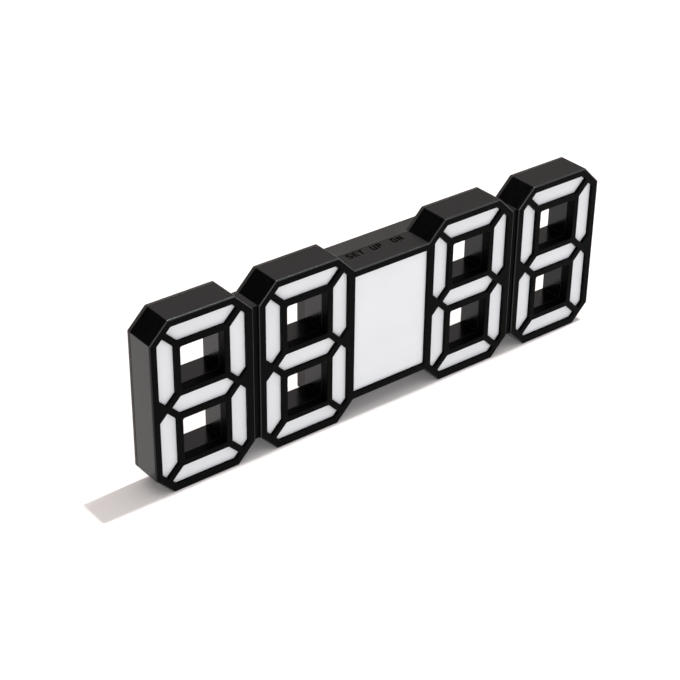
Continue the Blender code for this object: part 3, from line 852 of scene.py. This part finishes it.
def build_rear_cover():
    """Rear cover: a plate with window tubes, and the deep box behind the centre."""
    finishes = (cover_black, satin_black)
    plate = Skin()
    whole = case_outline(all_digits)
    plate.solid(whole, edge(cover_front, seam_round, 1) + edge(cover_back, cover_round, -1)[::-1])
    cover = plate.place("rear_cover_shell", finishes)

    box = Skin()
    box_outline = rectangle(-box_half, box_half, -shoulder, shoulder)
    box_stations = edge(cover_front, seam_round, 1) + edge(box_back, box_round, -1)[::-1]
    box.solid(soften(box_outline, box_corner), box_stations)
    combine(cover, box.place("box", finishes), "UNION")

    hollow = Skin()
    hollow.solid(inset(box_outline, box_wall), [(cover_front - overrun, 0), (box_inner, 0)])
    combine(cover, hollow.place("hollow", finishes), "DIFFERENCE")

    inside = Skin()
    for _, outer in window_pairs():
        inside.solid(outer, [(sleeve_end + fit_gap, 0), (cover_front + sink, 0)])
    for x in boss_places():
        back = box_inner + sink if abs(x) < box_half else cover_front + sink
        nearest = min(digit_centres, key=lambda centre: abs(centre - x))
        outward = math.copysign(1, x - nearest)
        limit = nearest * outward + half_width - case_wall - fit_gap
        well = circle(x, 0, well_radius)
        outline = [Vector((min(point.x * outward, limit) * outward, point.y)) for point in well]
        inside.solid(outline, [(seat_front, 0), (back, 0)])
    combine(cover, inside.place("inside", finishes), "UNION")

    openings = Skin()
    for inner, _ in window_pairs():
        through(openings, inner, sleeve_end - overrun, cover_back, window_flare, SATIN)
    for x in boss_places():
        back = box_back if abs(x) < box_half else cover_back
        pocket = [(0, seat_front - overrun), (pilot_radius, seat_front - overrun), (pilot_radius, seat_level),
                  (seat_radius, seat_level)]
        pocket += [(seat_radius - distance, depth) for depth, distance in edge(back, well_edge, -1, -1)[::-1]]
        pocket += [(seat_radius + well_edge, back + overrun), (0, back + overrun)]
        openings.turned(pocket, x)
    for x in button_x.values():
        hole = inset(stadium(button_width, button_height), -fit_gap)
        through(openings, shifted(hole, x, button_level), box_inner - overrun, box_back, well_edge)
    for index in range(vent_count):
        x = vent_x + (index - (vent_count - 1) / 2) * vent_pitch
        slot = rectangle(x - vent_width / 2, x + vent_width / 2,
                         vent_level - vent_length / 2, vent_level + vent_length / 2)
        through(openings, soften(slot, vent_round), box_inner - overrun, box_back, door_edge)
    seat = circle(0, door_level, door_flange_radius + fit_gap, fine_sides)
    through(openings, seat, box_back - door_flange - fit_gap, box_back, door_edge)
    combine(cover, openings.place("openings", finishes), "DIFFERENCE")

    last = Skin()
    last.solid(notched_circle(), [(box_inner - overrun, 0), (box_back, 0)])
    for turn in (0, door_turn):
        cut_dot(last, door_flange_radius + cover_dot_gap, turn, cover_dot_radius, cover_dot_floor)
    combine(cover, last.place("last", finishes), "DIFFERENCE")
    mouth = Skin()
    hole = inset(stadium(socket_width, socket_height), -fit_gap)
    through(mouth, hole, box_half - box_wall - overrun, box_half, well_edge)
    combine(cover, mouth.place("mouth", finishes, side_turn()), "DIFFERENCE")
    dress(cover, "case", "rear_cover")


def cut_dot(skin, reach, turn, radius, floor):
    """A dot on or beside the door, its turn counted from straight up, the way that the door unlocks."""
    low, high = box_back - dot_depth, box_back + overrun
    profile = [(0, low), (floor, low), (radius, high), (0, high)]
    skin.turned(profile, reach * math.sin(turn), door_level + reach * math.cos(turn))


# Moving pieces

def build_button(name):
    """Push button with a dished cap and the flange that keeps it in."""
    x = button_x[name]
    outline = shifted(stadium(button_width, button_height), x, button_level)
    skin = Skin()
    flange_back = box_inner - fit_gap
    low = span(f"{name}_button")[0]
    base, shelf = skin.run(inset(outline, -button_flange), [(low.y, 0), (flange_back, 0)])
    skin.cap([base])
    neck, _ = skin.run(outline, [(flange_back, 0)] + edge(button_back, button_round, -1)[::-1])
    skin.cap([shelf, neck])
    dish = []
    reach = button_height / 2 - button_round - button_dish_flat
    for step in range(dome_steps + 1):
        share = step / dome_steps
        depth = button_back - button_dish * math.sin(share * math.pi / 2) ** 2
        dish.append((depth, button_round + reach * share))
    _, floor = skin.run(outline, dish)
    skin.cap([floor])
    dress(skin.place(f"{name}_button_cap", (part_black,)), f"{name}_key", f"{name}_button")


def build_door():
    """Battery door: flanged plug with lugs and a coin slot."""
    skin = Skin()
    skirt_front = door_front + skirt_height
    flange_front = box_back - door_flange
    profile = [(0, skirt_front), (door_plug_radius - door_skirt, skirt_front),
               (door_plug_radius - door_skirt, door_front), (door_plug_radius, door_front),
               (door_plug_radius, flange_front), (door_flange_radius, flange_front)]
    rim = edge(box_back, door_edge, -1)[::-1]
    profile += [(door_flange_radius - distance, depth) for depth, distance in rim]
    ring = door_plug_radius - ring_inset
    ring_floor = box_back - ring_depth
    profile += [(ring + ring_half, box_back), (ring + ring_floor_half, ring_floor),
                (ring - ring_floor_half, ring_floor), (ring - ring_half, box_back), (0, box_back)]
    skin.turned(profile, 0, door_level, sides=fine_sides)
    door = skin.place("battery_door_skin", (part_black,))
    lugs = Skin()
    for lug in range(lug_count):
        middle = 2 * math.pi * lug / lug_count
        points = []
        arcs = ((door_plug_radius + lug_reach, -1, 1), (door_plug_radius - door_skirt / 2, 1, -1))
        for radius, start, end in arcs:
            for step in range(dome_steps + 1):
                turn = middle + lug_angle / 2 * (start + (end - start) * step / dome_steps)
                points.append(Vector((radius * math.cos(turn), door_level + radius * math.sin(turn))))
        lugs.solid(points, [(door_front, 0), (skirt_front, 0)])
    combine(door, lugs.place("lugs", (part_black,)), "UNION")
    slot = Skin()
    outline = shifted(stadium(coin_slot_length, coin_slot_width), 0, door_level)
    through(slot, outline, box_back - coin_slot_depth, box_back, coin_slot_edge)
    combine(door, slot.place("slot", (part_black,)), "DIFFERENCE")
    mark = Skin()
    cut_dot(mark, door_flange_radius - door_dot_inset, 0, door_dot_radius, door_dot_floor)
    combine(door, mark.place("mark", (part_black,)), "DIFFERENCE")
    dress(door, "door", "battery_door")


# Screws and socket

def build_screw(node, head_out, radius, length, head, height):
    """Pan-head screw with a cross recess and a thread; head_out is 1 where the head points to the back."""
    low, high = span(node)
    x = (low.x + high.x) / 2
    z = (low.z + high.z) / 2
    top = high.y if head_out > 0 else low.y
    under = top - head_out * height
    tip = under - head_out * length
    profile = [(0, tip), (radius * tip_share, tip)]
    pitch = radius * pitch_share
    turns = int((length - radius) / pitch)
    for turn in range(turns):
        foot = tip + head_out * (radius * thread_start_share + turn * pitch)
        profile += [(radius * width, foot + head_out * pitch * along) for width, along in thread_shares]
    profile += [(radius, under - head_out * shank_collar), (radius, under), (head, under)]
    for step in range(dome_steps + 1):
        turn = math.pi / 2 * step / dome_steps
        rise = height - head_round
        profile.append((head - head_round + head_round * math.cos(turn),
                        under + head_out * (rise + head_round * math.sin(turn))))
    profile.append((0, top))
    skin = Skin()
    skin.turned(profile, x, z, sides=coarse_sides)
    screw = skin.place(f"{node}_skin", (zinc_steel,))
    arm = head * cross_reach_share
    half = head * cross_width_share
    cross = [(half, -arm), (half, -half), (arm, -half), (arm, half), (half, half), (half, arm),
             (-half, arm), (-half, half), (-arm, half), (-arm, -half), (-half, -half), (-half, -arm)]
    recess = Skin()
    outline = shifted([Vector(point) for point in cross], x, z)
    bottom = top - head_out * height * cross_depth_share
    recess.solid(outline, [(bottom, half * cross_draft_share), (top + head_out * overrun, 0)])
    combine(screw, recess.place("recess", (zinc_steel,)), "DIFFERENCE")
    dress(screw, "case", node)


def build_socket():
    """Power socket: a drawn metal shell round a contact tongue, facing the side."""
    back, mouth = socket_low.x, socket_high.x
    floor = mouth - socket_tongue_length
    outline = stadium(socket_width, socket_height)
    lip = socket_shell / 2
    skin = Skin()
    rear, outer = skin.run(outline, edge(back, lip, 1) + edge(mouth, lip, -1)[::-1])
    skin.cap([rear])
    inner, bottom = skin.run(inset(outline, socket_shell), [(mouth, -lip / 2), (mouth - lip, 0), (floor, 0)])
    skin.cap([outer, inner])
    half_z = socket_tongue_width / 2
    half_y = socket_tongue / 2
    tongue = soften(rectangle(-half_z, half_z, -half_y, half_y), half_y * tongue_round_share)
    tongue_end = edge(mouth - socket_tongue_set_back, lip, -1)[::-1]
    foot, tip = skin.run(tongue, [(floor, 0)] + tongue_end, TONGUE)
    skin.cap([bottom, foot], SHELL)
    skin.cap([tip], TONGUE)
    made = skin.place("power_socket_skin", socket_finishes, side_turn())
    dress(made, "case", "power_socket")


def finish_inner_pieces():
    """Materials of the CAD solids that stay."""
    finishes = {
        "display_board": board_green, "control_board": board_green, "board_link": part_black,
        "panel_light_frame": frame_white, "coin_cell": nickel_steel, "cell_holder": part_black,
        "sounder": part_black,
    }
    finishes |= {f"light_frame_{number}": frame_white for number in digit_numbers}
    for name in button_x:
        finishes[f"{name}_switch"] = switch_beige
        finishes[f"{name}_switch_stem"] = part_black
    for node, finish in finishes.items():
        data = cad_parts[node].data
        data.materials.clear()
        data.materials.append(finish)


# Studio

# Azimuth, tilt and roll of the camera in degrees, its place in metres and its lens in millimetres
camera_angles = (38.372, 31.024, 0.656)
camera_place = (-0.46375, -0.56045, 0.46528)
camera_lens = 93.399
camera_sensor = 36

# Floor, key lamp and what the camera sees behind the clock
floor_radius = 6.0
floor_sides = 64
floor_colour = (0.94, 0.890, 0.875, 1)
floor_roughness = 0.9
floor_glow = 0.08
key_direction = (0.36, 0.012, 1.0)
key_energy = 2.1
key_angle = math.radians(1.5)
backdrop_strength = 1.0
white = (1, 1, 1, 1)

# Tints of the surroundings, and the sockets of a mix node that are for colours
behind_tint = (1.0, 0.915, 0.88, 1)
front_tint = (0.97, 0.985, 1.0, 1)
mix_factor = 0
mix_first = 6
mix_second = 7
mix_result = 2


def build_camera():
    """Camera at the photograph's place, from the fit to the segments' corners."""
    azimuth, tilt, roll = (math.radians(angle) for angle in camera_angles)
    look = Vector((math.sin(azimuth) * math.cos(tilt), math.cos(azimuth) * math.cos(tilt), -math.sin(tilt)))
    level = look.cross(Vector((0, 0, 1))).normalized()
    right = level * math.cos(roll) + level.cross(look) * math.sin(roll)
    data = bpy.data.cameras.new("camera")
    data.lens = camera_lens
    data.sensor_width = camera_sensor
    camera = bpy.data.objects.new("camera", data)
    turn = Matrix((right, right.cross(look), -look)).transposed().to_4x4()
    camera.matrix_world = Matrix.Translation(camera_place) @ turn
    bpy.context.scene.collection.objects.link(camera)
    bpy.context.scene.camera = camera


def shown_white(tree, strength):
    """An emission that only camera, glossy and transmission rays see."""
    path = tree.nodes.new("ShaderNodeLightPath")
    total = path.outputs["Is Camera Ray"]
    for name in ("Is Glossy Ray", "Is Transmission Ray"):
        larger = tree.nodes.new("ShaderNodeMath")
        larger.operation = "MAXIMUM"
        tree.links.new(total, larger.inputs[0])
        tree.links.new(path.outputs[name], larger.inputs[1])
        total = larger.outputs[0]
    scaled = tree.nodes.new("ShaderNodeMath")
    scaled.operation = "MULTIPLY"
    scaled.inputs[1].default_value = strength
    tree.links.new(total, scaled.inputs[0])
    return scaled.outputs[0]


def build_floor():
    """Pale floor that keeps the clock's shadow."""
    mesh = bmesh.new()
    bmesh.ops.create_circle(mesh, cap_ends=True, segments=floor_sides, radius=floor_radius)
    data = bpy.data.meshes.new("floor")
    mesh.to_mesh(data)
    mesh.free()
    floor = bpy.data.objects.new("floor", data)
    bpy.context.scene.collection.objects.link(floor)
    paint = bpy.data.materials.new("floor_white")
    paint.use_nodes = True
    tree = paint.node_tree
    shader = tree.nodes["Principled BSDF"]
    shader.inputs["Base Color"].default_value = floor_colour
    shader.inputs["Roughness"].default_value = floor_roughness
    shader.inputs["Specular IOR Level"].default_value = 0.0
    shader.inputs["Emission Color"].default_value = white
    tree.links.new(shown_white(tree, floor_glow), shader.inputs["Emission Strength"])
    data.materials.append(paint)


def build_world():
    """Soft surroundings: pale in front, grey behind on the right, dark on the left and bright overhead.

    They are slightly warm behind and slightly cool in front, and plain white where the camera sees them.
    """
    world = bpy.data.worlds.new("studio")
    bpy.context.scene.world = world
    world.use_nodes = True
    tree = world.node_tree
    background = tree.nodes["Background"]
    ray = tree.nodes.new("ShaderNodeTexCoord")
    parts = tree.nodes.new("ShaderNodeSeparateXYZ")
    tree.links.new(ray.outputs["Generated"], parts.inputs[0])

    def slope(axis, low, high, first, last):
        """A smooth change along one axis of the ray."""
        made = tree.nodes.new("ShaderNodeMapRange")
        made.interpolation_type = "SMOOTHSTEP"
        for socket, value in zip(("From Min", "From Max", "To Min", "To Max"), (low, high, first, last)):
            made.inputs[socket].default_value = value
        tree.links.new(parts.outputs[axis], made.inputs["Value"])
        return made.outputs["Result"]

    side = slope("X", low=-0.35, high=0.50, first=0.02, last=0.70)
    lift = slope("Z", low=0.36, high=0.54, first=0.45, last=1.0)
    behind = tree.nodes.new("ShaderNodeMath")
    behind.operation = "MULTIPLY"
    tree.links.new(side, behind.inputs[0])
    tree.links.new(lift, behind.inputs[1])
    front = slope("Y", low=0.25, high=-0.35, first=0.0, last=1.0)
    ahead = slope("Z", low=0.25, high=0.55, first=1.05, last=0.40)
    above = slope("Z", low=0.65, high=0.92, first=0.0, last=1.25)
    level = tree.nodes.new("ShaderNodeMix")
    tree.links.new(front, level.inputs["Factor"])
    tree.links.new(behind.outputs[0], level.inputs["A"])
    tree.links.new(ahead, level.inputs["B"])
    ceiling = tree.nodes.new("ShaderNodeMath")
    ceiling.operation = "MAXIMUM"
    tree.links.new(level.outputs["Result"], ceiling.inputs[0])
    tree.links.new(above, ceiling.inputs[1])
    shown = tree.nodes.new("ShaderNodeLightPath")
    strength = tree.nodes.new("ShaderNodeMix")
    tree.links.new(shown.outputs["Is Camera Ray"], strength.inputs["Factor"])
    tree.links.new(ceiling.outputs[0], strength.inputs["A"])
    strength.inputs["B"].default_value = backdrop_strength
    tree.links.new(strength.outputs["Result"], background.inputs["Strength"])
    tint = tree.nodes.new("ShaderNodeValToRGB")
    tint.color_ramp.elements[0].color = behind_tint
    tint.color_ramp.elements[1].color = front_tint
    tree.links.new(front, tint.inputs["Fac"])
    shown_tint = tree.nodes.new("ShaderNodeMix")
    shown_tint.data_type = "RGBA"
    tree.links.new(shown.outputs["Is Camera Ray"], shown_tint.inputs[mix_factor])
    tree.links.new(tint.outputs["Color"], shown_tint.inputs[mix_first])
    shown_tint.inputs[mix_second].default_value = white
    tree.links.new(shown_tint.outputs[mix_result], background.inputs["Color"])


def add_sun(name, towards, energy, angle):
    """A distant lamp that shines from a direction."""
    data = bpy.data.lights.new(name, "SUN")
    data.energy = energy
    data.angle = angle
    lamp = bpy.data.objects.new(name, data)
    lamp.rotation_euler = Vector(towards).to_track_quat("Z", "Y").to_euler()
    bpy.context.scene.collection.objects.link(lamp)


def build_studio():
    """Floor, surroundings and the key lamp, almost overhead and a little to the right."""
    build_floor()
    build_world()
    add_sun("key", key_direction, key_energy, key_angle)
    bpy.context.scene.view_settings.view_transform = "Standard"


build_camera()
build_front_case()
for index, digit_x in enumerate(digit_centres, 1):
    build_digit_lens(index, digit_x)
build_panel_lens()
build_rear_cover()
for key in button_x:
    build_button(key)
build_door()
for index in range(len(boss_places())):
    build_screw(f"case_screw_{index + 1}", 1, screw_radius, screw_length, head_radius, head_height)
for index in range(board_screw_count):
    build_screw(f"board_screw_{index + 1}", -1, board_screw_radius, board_screw_length,
                board_head_radius, board_head_height)
build_socket()
finish_inner_pieces()
build_studio()
